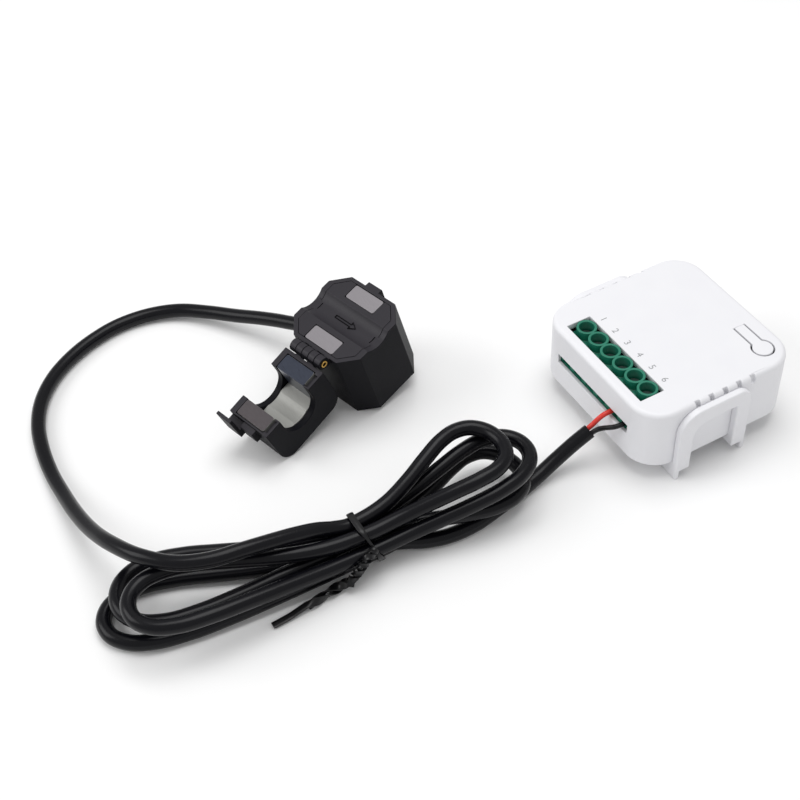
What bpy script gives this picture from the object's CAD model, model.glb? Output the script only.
import math

import bmesh
import bpy
from mathutils import Matrix, Vector


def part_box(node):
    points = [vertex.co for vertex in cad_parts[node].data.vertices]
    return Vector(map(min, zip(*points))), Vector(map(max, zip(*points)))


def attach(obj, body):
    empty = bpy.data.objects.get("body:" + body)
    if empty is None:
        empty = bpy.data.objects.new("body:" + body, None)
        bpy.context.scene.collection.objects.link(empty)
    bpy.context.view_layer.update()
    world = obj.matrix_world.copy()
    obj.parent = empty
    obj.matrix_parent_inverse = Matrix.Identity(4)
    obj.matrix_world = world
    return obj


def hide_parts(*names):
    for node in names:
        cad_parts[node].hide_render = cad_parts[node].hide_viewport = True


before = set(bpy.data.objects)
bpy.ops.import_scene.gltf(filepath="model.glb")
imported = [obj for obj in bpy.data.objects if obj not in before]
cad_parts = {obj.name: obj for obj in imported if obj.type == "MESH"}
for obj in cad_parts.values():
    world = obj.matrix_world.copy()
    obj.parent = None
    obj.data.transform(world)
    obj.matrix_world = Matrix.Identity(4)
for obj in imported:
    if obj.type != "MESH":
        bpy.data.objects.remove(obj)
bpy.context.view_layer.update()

# Camera: a short tele lens above the front right corner, leaning a little to one side.
# It stands about 0.37 m from the object and sees the whole of it.
mm = 0.001
camera = bpy.data.objects.new("camera", bpy.data.cameras.new("camera"))
camera.data.lens = 64.0
camera.data.sensor_width = 36.0
camera.location = Vector((196.81, -177.05, 263.7)) * mm
camera.rotation_euler = [math.radians(a) for a in (44.01, 2.415, 60.351)]
bpy.context.collection.objects.link(camera)
bpy.context.scene.camera = camera

# Cable: about one metre of round two-core lead in a black PVC sheath, extruded and soft.
# It leaves the module, is folded three times to each side, tied, and ends in the clamp's gland.
# Its points are in millimetres above the floor.
floor_z = -5.1
on_floor = Vector((0, 0, floor_z))
cable_r = 1.9
strand = 4.45
waist = Vector((5.6, -90, cable_r + 0.8))
row_step = strand * math.sqrt(3) / 2
pass_x = [strand * k for k in (0.5, -0.5, 0, -1, 1, 0.5, -0.5)]
pass_z = [waist.z + k * row_step for k in (0, 0, 1, 1, 1, 2, 2)]
fold_reach = (64, 41.6, 60, 43.4, 57, 37.7)
fold_belly = (18, 21, 20, 13, 19, -17.3)
fold_shift = (-3, 3.4, -3, 3.7, -1.5, 0.7)
fold_z = [cable_r + k * strand for k in (0, 1, 1, 2.45, 2.25, 3.4)]
hank_bend = 200
folds = len(fold_reach)
fold_steps = 16


def fold_point(p, a):
    # A point of fold p at angle a: out from one pass through the waist, round the end and back by the next.
    s, c = math.sin(a), math.cos(a)
    side = 1 if p % 2 == 0 else -1
    t = side * fold_reach[p] * s / hank_bend
    v = (pass_x[p] * (1 + c) + pass_x[p + 1] * (1 - c)) / 2
    m = min(1.25 * s, 1)
    m = m * m * (3 - 2 * m)
    v += side * fold_belly[p] * c * s * s + fold_shift[p] * m
    z = (pass_z[p] * (1 + c) + pass_z[p + 1] * (1 - c)) / 2 * (1 - m) + fold_z[p] * m
    reach = hank_bend + v
    return (waist.x - hank_bend + reach * math.cos(t), waist.y - reach * math.sin(t), z)


lead = [(7.5, -28, 9.5), (7.3, -32, 7.4), (7.4, -37.5, 4.6), (8.2, -43.5, 2.5), (9.7, -50, 1.9),
        (11.4, -57.5, 1.9), (12.6, -65, 1.9), (12.3, -71.5, 1.9), (10.6, -77.5, 2.1), (8.7, -81.6, 2.5),
        (7.825, -84, 2.7), (7.825, -86.2, 2.7)]
hank = [fold_point(p, math.pi * i / fold_steps) for p in range(folds) for i in range(fold_steps)]
hank.append(fold_point(folds - 1, math.pi))
tail = [(3.375, -93.8, 10.41), (2.975, -96.8, 11.11), (2.5, -101, 12.8), (2.3, -106, 14.3), (2.2, -112, 15.7),
        (1.9, -119, 16.9), (0.8, -126.5, 17.2), (-2.5, -133.5, 17), (-9, -139.5, 16.3), (-17.5, -143.2, 13.8),
        (-27.5, -145.4, 9.8), (-38, -146.4, 6.2), (-47.5, -146.6, 3.6), (-57, -146.6, 2.1),
        (-66, -145.8, 1.9), (-75, -143.8, 1.9), (-83, -140, 1.9), (-89.5, -134.5, 1.9), (-94.5, -127.5, 1.9),
        (-98, -119.5, 1.9), (-99.8, -111, 1.9), (-99, -102.5, 2.1), (-95.5, -94.8, 2.7), (-89.5, -88.5, 3.6),
        (-82.5, -83, 5), (-75.5, -78, 7), (-69, -74, 8.8), (-64.51, -71.58, 9.83), (-60.51, -70.46, 10.03),
        (-58.83, -69.98, 10.03)]


def round_cord(name, points, radius, rest=None):
    # A smooth round tube through the points; a point lower than rest lies flat on the floor.
    line = bpy.data.curves.new(name, "CURVE")
    line.dimensions = "3D"
    line.resolution_u = 6
    line.bevel_depth = radius * mm
    line.bevel_resolution = 7
    line.use_fill_caps = True
    spline = line.splines.new("BEZIER")
    spline.bezier_points.add(len(points) - 1)
    for i, knot in enumerate(spline.bezier_points):
        at = points[i]
        back, on = at - points[max(i - 1, 0)], points[min(i + 1, len(points) - 1)] - at
        way = back + on
        if back.length and on.length:
            way = back.normalized() * on.length + on.normalized() * back.length
        if rest is not None and at.z < rest:
            way.z = 0
        way.normalize()
        knot.co = at * mm
        knot.handle_left_type = knot.handle_right_type = "FREE"
        knot.handle_left = (at - way * back.length / 3) * mm
        knot.handle_right = (at + way * on.length / 3) * mm
    piece = bpy.data.objects.new(name, line)
    bpy.context.collection.objects.link(piece)
    return piece


def linear(code):
    # An sRGB hex colour as linear values.
    parts = [int(code[i:i + 2], 16) / 255 for i in (1, 3, 5)]
    return tuple(c / 12.92 if c <= 0.04045 else ((c + 0.055) / 1.055) ** 2.4 for c in parts) + (1,)


def add(tree, kind, settings=None, **inputs):
    # An input goes by its name, or by its number, as in i6, where several have one name.
    # A Mix node's colours are its inputs 6 and 7, and the mixed colour is its output 2.
    made = tree.nodes.new("ShaderNode" + kind)
    for key, value in (settings or {}).items():
        setattr(made, key, value)
    for key, value in inputs.items():
        numbered = key[0] == "i" and key[1:].isdigit()
        socket = made.inputs[int(key[1:]) if numbered else key.replace("_", " ")]
        if isinstance(value, bpy.types.NodeSocket):
            tree.links.new(value, socket)
        else:
            socket.default_value = value
    return made


def finish(name, roughness, metallic=0.0, ior=1.5, gleam=0.5):
    material = bpy.data.materials.new(name)
    material.use_nodes = True
    shader = material.node_tree.nodes["Principled BSDF"]
    shader.inputs["Roughness"].default_value = roughness
    shader.inputs["Metallic"].default_value = metallic
    shader.inputs["IOR"].default_value = ior
    shader.inputs["Specular IOR Level"].default_value = gleam
    return material, material.node_tree, shader


def moulded(name, colour, shade, roughness, grit_mm, relief, gleam=0.5):
    # An injection moulded or extruded plastic: its mould's fine grit breaks up the gloss, and the
    # colour drifts a little over the piece. The grit is drawn coarser than life so that it shows.
    drift_mm = 25 / 3
    grit_deep_mm = 0.05
    uneven = 0.06
    material, tree, shader = finish(name, roughness, ior=1.53, gleam=gleam)
    place = add(tree, "TexCoord").outputs["Object"]
    drift = add(tree, "TexNoise", Vector=place, Scale=1000 / drift_mm, Detail=3.0)
    tone = add(tree, "Mix", {"data_type": "RGBA"}, i0=drift.outputs["Fac"],
               i6=linear(colour), i7=linear(shade))
    grit = add(tree, "TexNoise", Vector=place, Scale=1000 / grit_mm, Detail=2.0)
    gloss = add(tree, "MapRange", Value=grit.outputs["Fac"],
                To_Min=roughness - uneven, To_Max=roughness + uneven)
    bump = add(tree, "Bump", Height=grit.outputs["Fac"], Strength=relief, Distance=grit_deep_mm * mm)
    tree.links.new(tone.outputs[2], shader.inputs["Base Color"])
    tree.links.new(gloss.outputs["Result"], shader.inputs["Roughness"])
    tree.links.new(bump.outputs["Normal"], shader.inputs["Normal"])
    return material


cable_pvc = moulded("extruded_black_pvc", "#0d0d12", "#09090d", 0.25, 0.9, 0.03, 0.19)
cable_way = [Vector(p) + on_floor for p in lead + hank + tail]
cable = round_cord("cable", cable_way, cable_r, floor_z + cable_r + 0.05)
cable.data.materials.append(cable_pvc)
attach(cable, "monitor")
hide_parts("cable_lead", "cable_hank", "cable_tail")

# Tie: a flat black plastic ribbon with a wire in it, laid once round the waist of the hank.
# Its ends are twisted tightly under the hank, then loosely, and the longest lies flat on the floor.
tie_w, tie_t = 1.75, 0.5
tie_slack = 0.25
tie_lean = 0.33
tie_shift = 0.2
tie_mid_z = 5.4
tie_r = cable_r + tie_slack + tie_t / 2
ribbon = ((-1, -0.4), (-0.7, -0.9), (0, -1), (0.7, -0.9), (1, -0.4),
          (1, 0.4), (0.7, 0.9), (0, 1), (-0.7, 0.9), (-1, 0.4))


def ribbon_ring(bm, at, along, up, width, thick):
    across = along.cross(up).normalized()
    up = across.cross(along).normalized()
    ring = [bm.verts.new((at + across * x * width / 2 + up * y * thick / 2) * mm) for x, y in ribbon]
    return [bm.edges.new((ring[i - 1], ring[i])) for i in range(len(ring))]


# The strap goes 60 degrees round each outer strand of the waist and is thinnest where the twist draws it in.
tie_mesh = bmesh.new()
strap = []
for dx, row, start in ((1, 1, -30), (0.5, 2, 30), (-0.5, 2, 90), (-1, 1, 150), (-0.5, 0, 210), (0.5, 0, 270)):
    for i in range(7):
        a = math.radians(start + 10 * i)
        out = Vector((math.cos(a), 0, math.sin(a)))
        at = waist + Vector((dx * strand, 0, row * row_step)) + out * tie_r
        slope = Vector((-out.z, -tie_lean * out.x, out.x))
        at += Vector((0, tie_shift - tie_lean * (at.z - tie_mid_z), floor_z))
        thin = 1 - 0.6 * max(0, 1 - abs(i + start / 10 - 3) / 7)
        strap.append(ribbon_ring(tie_mesh, at, slope, out, tie_w * thin, tie_t))
for i in range(len(strap)):
    bmesh.ops.bridge_loops(tie_mesh, edges=strap[i - 1] + strap[i])
pull = [Vector(p) + on_floor for p in (
    (11.9, -91.4, 8.9), (12.7, -93.6, 8.2), (13.1, -95.3, 6.9), (12.9, -96.8, 4.8), (12.1, -98.1, 2.6),
    (11.6, -100.2, 1.6), (11.8, -103.5, 1.4), (12.3, -107.4, 1.3), (12.5, -111.2, 1.1), (12.7, -114.9, 0.8),
    (12.8, -118.8, 0.6))]
pull_steps = 110
tight_end = 0.42
loose_span = 0.34
short_end = 0.76


def smooth_way(points, t):
    s = min(max(t, 0), 0.9999) * (len(points) - 1)
    i = int(s)
    f = s - i
    a, b, c, d = points[max(i - 1, 0)], points[i], points[i + 1], points[min(i + 2, len(points) - 1)]
    return (b * 2 + (c - a) * f + (a * 2 - b * 5 + c * 4 - d) * f * f + (b * 3 - a - c * 3 + d) * f ** 3) / 2


def twisted_end(stop, phase):
    # Three turns about the pulled line: most of them tight, the last one loose, and a straight end.
    rings = []
    for i in range(int(pull_steps * stop) + 1):
        t = i / pull_steps
        along = (smooth_way(pull, t + 0.01) - smooth_way(pull, t - 0.01)).normalized()
        turns = 2.2 * min(t / tight_end, 1) + 0.8 * min(max((t - tight_end) / loose_span, 0), 1)
        flat = Vector((0, 0, 1)) - along * along.z
        up = Matrix.Rotation(phase + (turns - 3) * 2 * math.pi, 3, along) @ flat.normalized()
        reach = 0.75 - 0.35 * t if t < short_end else max(0, 0.484 - 4.5 * (t - short_end))
        spread = 1.8 + 0.7 * max(0, 1 - abs(t - 0.58) / 0.16)
        rings.append(ribbon_ring(tie_mesh, smooth_way(pull, t) + up * reach, along, up, spread, 0.6))
    for before, after in zip(rings, rings[1:]):
        bmesh.ops.bridge_loops(tie_mesh, edges=before + after)
    for edges in (rings[0], rings[-1]):
        bmesh.ops.contextual_create(tie_mesh, geom=edges)


twisted_end(1.0, 0)
twisted_end(short_end, math.pi)
coil_way = (pull[1] - pull[0]).normalized()
coil_side = coil_way.cross(Vector((0, 0, 1))).normalized()
coil_r = 0.85
coil_steps = 16
coil = []
for i in range(coil_steps):
    out = Matrix.Rotation(2 * math.pi * i / coil_steps, 3, coil_way) @ coil_side
    coil.append(ribbon_ring(tie_mesh, pull[0] + out * coil_r, out.cross(coil_way), out, 1.5, 0.5))
for i in range(coil_steps):
    bmesh.ops.bridge_loops(tie_mesh, edges=coil[i - 1] + coil[i])
stub = [Vector(p) + on_floor for p in ((12.3, -97.6, 4), (12.9, -98.3, 3.1), (13.6, -98.9, 2.3))]
stub_rings = [ribbon_ring(tie_mesh, at, stub[2] - stub[0], Vector((0.2, 0.3, 1)), 1.7, 0.6) for at in stub]
for before, after in zip(stub_rings, stub_rings[1:]):
    bmesh.ops.bridge_loops(tie_mesh, edges=before + after)
for edges in (stub_rings[0], stub_rings[-1]):
    bmesh.ops.contextual_create(tie_mesh, geom=edges)
bmesh.ops.recalc_face_normals(tie_mesh, faces=tie_mesh.faces)


def piece_from(bm, name, material, smooth_deg=35, edge_mm=0.0):
    # The finished object of a mesh; with edge_mm, the edges sharper than smooth_deg are eased by that much.
    mesh = bpy.data.meshes.new(name)
    bm.to_mesh(mesh)
    bm.free()
    mesh.shade_smooth()
    mesh.set_sharp_from_angle(angle=math.radians(smooth_deg))
    mesh.materials.append(material)
    piece = bpy.data.objects.new(name, mesh)
    bpy.context.collection.objects.link(piece)
    if edge_mm:
        ease = piece.modifiers.new("eased_edges", "BEVEL")
        ease.width = edge_mm * mm
        ease.segments = 2
        ease.limit_method = "ANGLE"
        ease.angle_limit = math.radians(smooth_deg)
        ease.use_clamp_overlap = False
        ease.loop_slide = False
        level = piece.modifiers.new("flat_faces_lit_flat", "WEIGHTED_NORMAL")
        level.keep_sharp = True
    return piece


tie_gloss = moulded("glossy_black_tie", "#131315", "#0e0e10", 0.3, 1.2, 0.05, 0.3)
tie = piece_from(tie_mesh, "tie", tie_gloss, 50)
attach(tie, "monitor")
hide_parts("cable_tie")


# Top cover: one shell of white ABS, moulded with a fine matt grit and eased edges.
# It carries the terminal window, the wire slot, five vent grooves a side and the button's keyhole.
def eased_copy(node, name, body, material, edge_mm, post=None):
    # A copy of a node with clean faces and eased edges; its edges along post are rounded first.
    weld_mm = 0.002
    flat_deg = 0.6
    post_round_mm = 0.55
    sharp_deg = 28
    bm = bmesh.new()
    bm.from_mesh(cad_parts[node].data)
    bmesh.ops.remove_doubles(bm, verts=bm.verts, dist=weld_mm * mm)
    bmesh.ops.dissolve_limit(bm, angle_limit=math.radians(flat_deg), verts=bm.verts, edges=bm.edges)
    if post is not None:
        tall = [e for e in bm.edges if abs((e.verts[1].co - e.verts[0].co).normalized().dot(post)) > 0.999]
        bmesh.ops.bevel(bm, geom=tall, offset=post_round_mm * mm, affect="EDGES", segments=4, profile=0.5,
                        material=-1)
    # Hollow outlines are split into plain faces, in millimetres, so that none of them folds over itself.
    bmesh.ops.scale(bm, vec=Vector((1, 1, 1)) / mm, verts=bm.verts)
    bmesh.ops.connect_verts_concave(bm, faces=bm.faces[:])
    bmesh.ops.scale(bm, vec=Vector((1, 1, 1)) * mm, verts=bm.verts)
    piece = piece_from(bm, name, material, sharp_deg, edge_mm)
    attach(piece, body)
    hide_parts(node)
    return piece


white_abs = moulded("matt_white_abs", "#e9e9ec", "#e4e4e8", 0.45, 0.5, 0.06)
eased_copy("top_cover", "case_shell", "monitor", white_abs, 0.18)

# Bottom cover: a plain white plate that snaps into the shell and carries the board's posts.
# It is moulded of the same ABS, a shade darker, with open vent slots.
base_abs = moulded("plain_white_abs", "#dcdcdf", "#d4d4d8", 0.5, 0.6, 0.06)
eased_copy("bottom_cover", "case_base", "monitor", base_abs, 0.15)

# Rail clips: two white arches with hooked feet, pegged into the sides of the case.
# They are moulded apart from the shell, with rounder edges.
for side in ("left", "right"):
    eased_copy("rail_clip_" + side, "clip_" + side, "monitor", white_abs, 0.3)

# Button: a tongue of the same white ABS in a keyhole gap; its root bends when it is pressed.
# A peg under its round end reaches the switch on the board.
eased_copy("reset_button", "button_tongue", "button", white_abs, 0.15)

# Pole numbers: plain figures beside the screw row, pad printed in thin grey ink.
# The ink lies on the cover; its grey is finely speckled, a little coarser than life so that it shows.
ink_speck_mm = 1 / 6
ink_t = 0.01
ink_lift = 0.012
figure_h = 2.6
figure_back = 4.3
pitch = 5.08
row_y = -15.6
case_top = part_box("top_cover")[1].z
ink, ink_tree, ink_shader = finish("grey_pad_ink", 0.55)
ink_place = add(ink_tree, "TexCoord").outputs["Object"]
ink_speck = add(ink_tree, "TexNoise", Vector=ink_place, Scale=1000 / ink_speck_mm, Detail=2.0)
ink_tone = add(ink_tree, "Mix", {"data_type": "RGBA"}, i0=ink_speck.outputs["Fac"],
               i6=linear("#8d8f91"), i7=linear("#a3a5a7"))
ink_tree.links.new(ink_tone.outputs[2], ink_shader.inputs["Base Color"])
for pole in range(6):
    figure = bpy.data.curves.new("figure", "FONT")
    figure.body = str(pole + 1)
    figure.size = figure_h * mm
    figure.align_x = "CENTER"
    figure.extrude = ink_t * mm
    shape = bpy.data.objects.new("figure", figure)
    bpy.context.collection.objects.link(shape)
    mesh = bpy.data.meshes.new_from_object(shape.evaluated_get(bpy.context.evaluated_depsgraph_get()))
    bpy.data.objects.remove(shape)
    figure_at = ((pole - 2.5) * pitch * mm, (row_y + figure_back) * mm, case_top + ink_lift * mm)
    mesh.transform(Matrix.Translation(figure_at))
    mesh.materials.clear()
    mesh.materials.append(ink)
    number = bpy.data.objects.new("pole_number_%d" % (pole + 1), mesh)
    bpy.context.collection.objects.link(number)
    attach(number, "monitor")

# Terminal body: green glass-filled polyamide, moulded as one block with six round wells.
# It stands on the board and its rims come up into the window.
green_pa = moulded("green_polyamide", "#1a7c63", "#156d57", 0.36, 0.4, 0.06)
eased_copy("terminal_body", "terminal_block", "monitor", green_pa, 0.1)

# Screws: slotted cheese heads of zinc plated steel, turned and barrelled bright.
# Each draws up a cage of the same metal; small wear marks dull the gloss in spots.
def dress(material, *nodes):
    for name in nodes:
        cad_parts[name].data.materials.clear()
        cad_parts[name].data.materials.append(material)


wear_mm = 0.4
zinc, zinc_tree, zinc_shader = finish("bright_zinc_steel", 0.3, 1.0)
zinc_place = add(zinc_tree, "TexCoord").outputs["Object"]
zinc_wear = add(zinc_tree, "TexNoise", Vector=zinc_place, Scale=1000 / wear_mm, Detail=4.0)
zinc_tone = add(zinc_tree, "Mix", {"data_type": "RGBA"}, i0=zinc_wear.outputs["Fac"],
                i6=linear("#c9cbcd"), i7=linear("#a2a4a7"))
zinc_gloss = add(zinc_tree, "MapRange", Value=zinc_wear.outputs["Fac"], To_Min=0.1, To_Max=0.28)
zinc_tree.links.new(zinc_tone.outputs[2], zinc_shader.inputs["Base Color"])
zinc_tree.links.new(zinc_gloss.outputs["Result"], zinc_shader.inputs["Roughness"])
for pole in range(1, 7):
    eased_copy("terminal_screw_%d" % pole, "screw_%d" % pole, "screw_%d" % pole, zinc, 0.08)
    dress(zinc, "clamp_cage_%d" % pole)

# Board and components: fibreglass laminate with green mask, a shielded radio, a taped transformer,
# a sleeved capacitor, a lacquered fuse and varistor, moulded chips and tinned contacts.
# The clamp's hidden bobbin, winding and foam pad are dressed here too.
dress(moulded("green_solder_mask", "#15502f", "#0f4226", 0.35, 1.5, 0.15), "circuit_board")
dress(moulded("black_epoxy", "#17181a", "#1f2022", 0.55, 0.3, 0.1),
      "metering_chip", "tact_switch", "switch_plunger")
dress(moulded("yellow_polyester_tape", "#d8ab2b", "#c99a1f", 0.3, 2.5, 0.2), "power_transformer")
dress(moulded("blue_shrink_sleeve", "#1d2750", "#161e40", 0.28, 2.0, 0.1), "filter_capacitor")
dress(moulded("tan_lacquer", "#b99a6b", "#a88755", 0.3, 0.8, 0.15), "fuse_resistor")
dress(moulded("blue_lacquer", "#2a55a8", "#21478f", 0.25, 1.2, 0.15), "inrush_varistor")
dress(moulded("ivory_bobbin_pbt", "#ddd6bf", "#d2caaf", 0.5, 0.6, 0.08), "clamp_bobbin")
dress(moulded("grey_foam", "#3a3b3d", "#2f3032", 0.85, 0.5, 0.6), "clamp_core_pad")


def sheet_metal(name, colour, shade, roughness, grain_mm):
    # Rolled or drawn metal: long faint streaks along one way, drawn a little coarse.
    # A streak is about one grain wide and twelve grains long.
    streak_mm = 12.5 * grain_mm
    slim = 12.0
    uneven = 0.08
    material, tree, shader = finish(name, roughness, 1.0)
    place = add(tree, "TexCoord").outputs["Object"]
    turned = add(tree, "Mapping", Vector=place, Scale=(1.0, slim, slim))
    streak = add(tree, "TexNoise", Vector=turned.outputs["Vector"], Scale=1000 / streak_mm, Detail=4.0)
    tone = add(tree, "Mix", {"data_type": "RGBA"}, i0=streak.outputs["Fac"],
               i6=linear(colour), i7=linear(shade))
    gloss = add(tree, "MapRange", Value=streak.outputs["Fac"],
                To_Min=roughness - uneven, To_Max=roughness + uneven)
    tree.links.new(tone.outputs[2], shader.inputs["Base Color"])
    tree.links.new(gloss.outputs["Result"], shader.inputs["Roughness"])
    return material


dress(sheet_metal("tinned_shield", "#c4c5c4", "#a9abab", 0.35, 0.4), "radio_module", "terminal_contacts")
dress(sheet_metal("enamelled_copper", "#a4552b", "#87431f", 0.35, 0.2), "clamp_winding", "wire_conductors")

# Wires: two stranded cores in thin red and black PVC, clamped under poles 5 and 6.
# They bend down out of the slot into the cut end of the cable's sheath.
wire_r = 0.65
wire_z = 8.25
slot_y = -22.7
core_gap = 0.85
jacket = Vector(lead[0]) + on_floor


def bezier(p, t):
    return p[0] * (1 - t) ** 3 + p[1] * 3 * t * (1 - t) ** 2 + p[2] * 3 * t * t * (1 - t) + p[3] * t ** 3


lead_way = (Vector(lead[1]) - Vector(lead[0])).normalized()
red_pvc = moulded("red_wire_pvc", "#e2362a", "#cf2c20", 0.35, 0.7, 0.1)
black_pvc = moulded("black_wire_pvc", "#111113", "#0d0d0f", 0.3, 0.7, 0.1, 0.25)
for name, x, side, material, slot in (("red_wire", 7.62, -1, red_pvc, "red_insulation"),
                                      ("black_wire", 12.7, 1, black_pvc, "black_insulation")):
    start = Vector((x, slot_y, wire_z))
    end = jacket + Vector((core_gap * side, 0, 0))
    sweep = [start, start + Vector((0, -3, 0)), end - lead_way * 3, end]
    points = [Vector((x, -18.55, wire_z)), Vector((x, -20.55, wire_z))]
    points += [bezier(sweep, i / 5) for i in range(6)] + [end + lead_way * 1.5]
    wire = round_cord(name + "_core", points, wire_r)
    wire.data.materials.append(material)
    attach(wire, "monitor")
    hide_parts(name)

# Clamp body: an eight-sided cup of black flame-retardant ABS with three hinge knuckles and a latch tab.
# Its outer faces carry a spark-eroded texture and its edges are slightly rounded.
# It lies tilted on the floor, turned a little from the case.
black_abs = moulded("eroded_black_abs", "#111116", "#0d0d12", 0.5, 0.45, 0.12, 0.08)
plate_abs = moulded("smooth_black_abs", "#302e33", "#29272c", 0.42, 0.5, 0.06, 0.2)
clamp_tilt = math.radians(14.5)
clamp_yaw = math.radians(15.7)
cup_half = 11
cup_tall = 22.3
clamp_at = Vector((-46, -67, floor_z + cup_half * math.sin(clamp_tilt) + cup_tall * math.cos(clamp_tilt)))
clamp_turn = Matrix.Rotation(clamp_yaw, 3, "Z") @ Matrix.Rotation(clamp_tilt, 3, "X")
clamp_up = clamp_turn @ Vector((0, 0, 1))


def smooth_split_face(piece, up):
    # The faces that meet when the clamp closes come from a polished insert and are paler than the sides.
    piece.data.materials.append(plate_abs)
    for face in piece.data.polygons:
        if face.normal.dot(up) > 0.65 and (face.center / mm - clamp_at).dot(up) > -3:
            face.material_index = 1


cup = eased_copy("clamp_body", "clamp_cup", "monitor", black_abs, 0.15)
smooth_split_face(cup, clamp_up)

# Face plate: a thin black lid pressed into the cup, with the half-round trough that the conductor lies in.
# The two core poles come up through it, ground flush.
# A raised outline of an arrow, moulded in the trough, shows which way the current runs.
eased_copy("clamp_face_plate", "clamp_lid", "monitor", plate_abs, 0.06)
trough_r = 5.3
trough_up = 3.7
arrow_foot_r = 5.32
arrow_line_w = 0.17
arrow_relief = 0.24
arrow_mesh = bmesh.new()
arrow_line = ((-3.7, -0.45), (1.7, -0.45), (1.7, -1.2), (3.7, 0), (1.7, 1.2), (1.7, 0.45), (-3.7, 0.45))
arrow_face = arrow_mesh.faces.new([arrow_mesh.verts.new((x, y, 0)) for x, y in arrow_line])
arrow_face.normal_update()
bmesh.ops.inset_region(arrow_mesh, faces=[arrow_face], thickness=arrow_line_w, use_boundary=True,
                       use_even_offset=True)
bmesh.ops.delete(arrow_mesh, geom=[arrow_face], context="FACES")
raised = bmesh.ops.extrude_face_region(arrow_mesh, geom=arrow_mesh.faces[:])["geom"]
raised_verts = [v for v in raised if isinstance(v, bmesh.types.BMVert)]
bmesh.ops.translate(arrow_mesh, verts=raised_verts, vec=(0, 0, arrow_relief))
for corner in arrow_mesh.verts:
    x, y, z = corner.co
    a, r = y / trough_r, arrow_foot_r - z
    corner.co = (clamp_at + clamp_turn @ Vector((x, r * math.sin(a), trough_up - r * math.cos(a)))) * mm
bmesh.ops.recalc_face_normals(arrow_mesh, faces=arrow_mesh.faces)
arrow_black = moulded("dull_black_arrow", "#0e0d0f", "#121113", 0.7, 0.5, 0.05, 0.05)
arrow = piece_from(arrow_mesh, "current_arrow", arrow_black, 30)
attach(arrow, "monitor")

# Gland: a collar of black rubber, moulded round the cable and pressed into the side of the cup.
# It is duller than the plastic and keeps the cable from bending sharply.
gland_rubber = moulded("black_gland_rubber", "#121213", "#18181a", 0.6, 0.5, 0.15, 0.15)
eased_copy("clamp_gland", "gland", "monitor", gland_rubber, 0.4)

# Cores: two U shapes of pressed ferrite with ground pole faces.
# Grinding leaves fine parallel scratches on a grey that is only half metallic.
def ground_ferrite(name, colour, shade, roughness):
    # A scratch is drawn about 3 mm long and 0.2 mm wide, coarser than life so that it shows.
    scratch_mm = 20 / 7
    scratch_deep_mm = 0.02
    slim = 14.0
    material, tree, shader = finish(name, roughness, 0.4)
    place = add(tree, "TexCoord").outputs["Object"]
    way = add(tree, "Mapping", Vector=place, Scale=(1.0, slim, slim))
    mark = add(tree, "TexNoise", Vector=way.outputs["Vector"], Scale=1000 / scratch_mm, Detail=5.0)
    tone = add(tree, "Mix", {"data_type": "RGBA"}, i0=mark.outputs["Fac"],
               i6=linear(colour), i7=linear(shade))
    gloss = add(tree, "MapRange", Value=mark.outputs["Fac"], To_Min=roughness - 0.08, To_Max=roughness + 0.1)
    bump = add(tree, "Bump", Height=mark.outputs["Fac"], Strength=0.12, Distance=scratch_deep_mm * mm)
    tree.links.new(tone.outputs[2], shader.inputs["Base Color"])
    tree.links.new(gloss.outputs["Result"], shader.inputs["Roughness"])
    tree.links.new(bump.outputs["Normal"], shader.inputs["Normal"])
    return material


hinge_y = -12.95
hinge_at = clamp_at + clamp_turn @ Vector((0, hinge_y, 0))
cap_turn = clamp_turn @ Matrix.Rotation(math.radians(186.5), 3, "X")
pole_up = cap_turn @ Vector((0, 0, -1))
pole_out = cap_turn @ Vector((0, 1, 0))
pink_ferrite = ground_ferrite("ground_pinkish_ferrite", "#918d91", "#827e82", 0.4)
grey_ferrite = ground_ferrite("pressed_grey_ferrite", "#a0a09c", "#91918d", 0.45)
eased_copy("clamp_core_lower", "core_lower", "monitor", pink_ferrite, 0.12, clamp_up)
core_upper = eased_copy("clamp_core_upper", "core_upper", "cap", grey_ferrite, 0.12, pole_up)
# The cap's two poles are lapped darker than the trough between them, one bluish and one brownish.
core_upper.data.materials.append(ground_ferrite("lapped_blue_ferrite", "#2b2f3a", "#3b4150", 0.3))
core_upper.data.materials.append(ground_ferrite("lapped_brown_ferrite", "#464144", "#554f51", 0.35))
for face in core_upper.data.polygons:
    reach = face.center / mm - hinge_at
    if face.normal.dot(pole_up) > 0.98 and reach.dot(pole_up) > -1:
        face.material_index = 1 if reach.length < 13 else 2
    elif face.normal.dot(pole_out) > 0.6 and reach.dot(pole_out) < 9:
        face.material_index = 1

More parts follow.
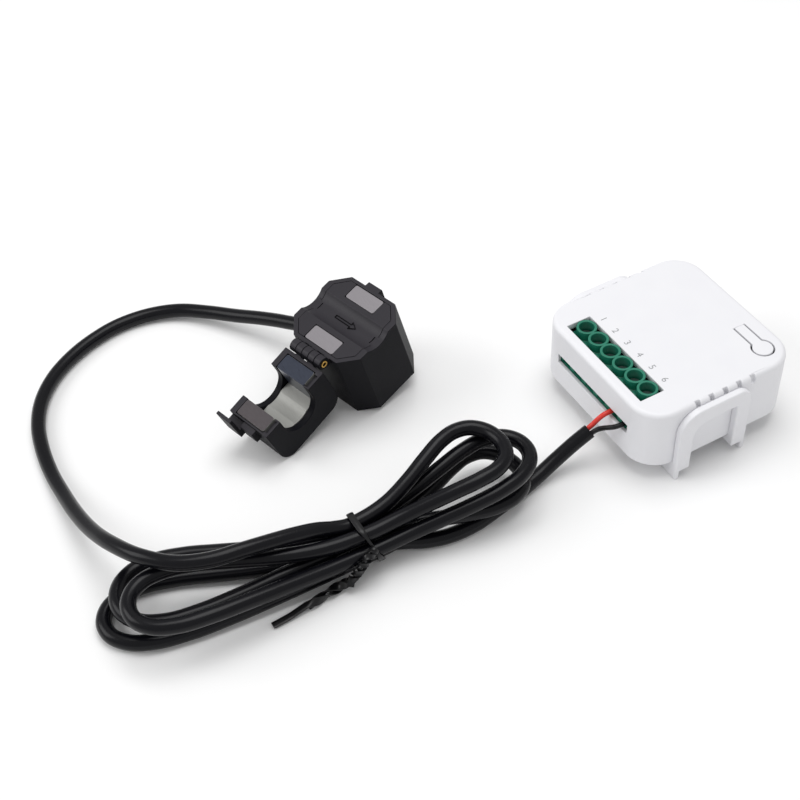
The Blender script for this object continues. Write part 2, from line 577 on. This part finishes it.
# Hinge pin: a hollow pin rolled from brass sheet and driven through the five knuckles.
# Its cut ends are bright and its bore stays open.
brass = sheet_metal("rolled_brass", "#cfa65c", "#b18a45", 0.28, 0.3)
eased_copy("clamp_pin", "hinge_pin", "monitor", brass, 0.06)

# Cap: the hinged half of the clamp, a black ABS cover over the upper core with a sprung latch blade.
# It is moulded in the same textured black as the cup.
cover = eased_copy("clamp_cap", "clamp_cover", "cap", black_abs, 0.15)
smooth_split_face(cover, pole_up)

# Studio: a pale matt floor under the feet, an even sky, a soft lamp overhead and one in front at the left.
# Whites are shown as they are, without a film curve.
bpy.context.scene.view_settings.view_transform = "Standard"
paper_patch_mm = 25
floor_half = 3.0
floor_drop = 0.02
paper, paper_tree, paper_shader = finish("pale_paper", 0.9)
paper_place = add(paper_tree, "TexCoord").outputs["Object"]
paper_fibre = add(paper_tree, "TexNoise", Vector=paper_place, Scale=1000 / paper_patch_mm, Detail=2.0)
paper_tone = add(paper_tree, "Mix", {"data_type": "RGBA"}, i0=paper_fibre.outputs["Fac"],
                 i6=linear("#f8f8f8"), i7=linear("#f6f6f6"))
paper_tree.links.new(paper_tone.outputs[2], paper_shader.inputs["Base Color"])
floor_mesh = bmesh.new()
floor_place = Matrix.Translation((0, 0, (floor_z - floor_drop) * mm))
bmesh.ops.create_grid(floor_mesh, x_segments=1, y_segments=1, size=floor_half, matrix=floor_place)
piece_from(floor_mesh, "floor", paper)
sky = bpy.data.worlds.new("sky")
bpy.context.scene.world = sky
sky.use_nodes = True
sky.node_tree.nodes["Background"].inputs["Color"].default_value = (1, 1, 1, 1)
sky.node_tree.nodes["Background"].inputs["Strength"].default_value = 0.56
for name, place, size, power in (("lamp_over", (-0.08, 0.02, 0.72), 0.5, 2.7),
                                 ("lamp_front", (-0.36, -0.72, 0.5), 0.5, 2.4)):
    lamp = bpy.data.objects.new(name, bpy.data.lights.new(name, "AREA"))
    lamp.data.size = size
    lamp.data.energy = power
    lamp.location = place
    lamp.rotation_euler = (Vector((-0.02, -0.06, 0)) - lamp.location).to_track_quat("-Z", "Y").to_euler()
    bpy.context.collection.objects.link(lamp)
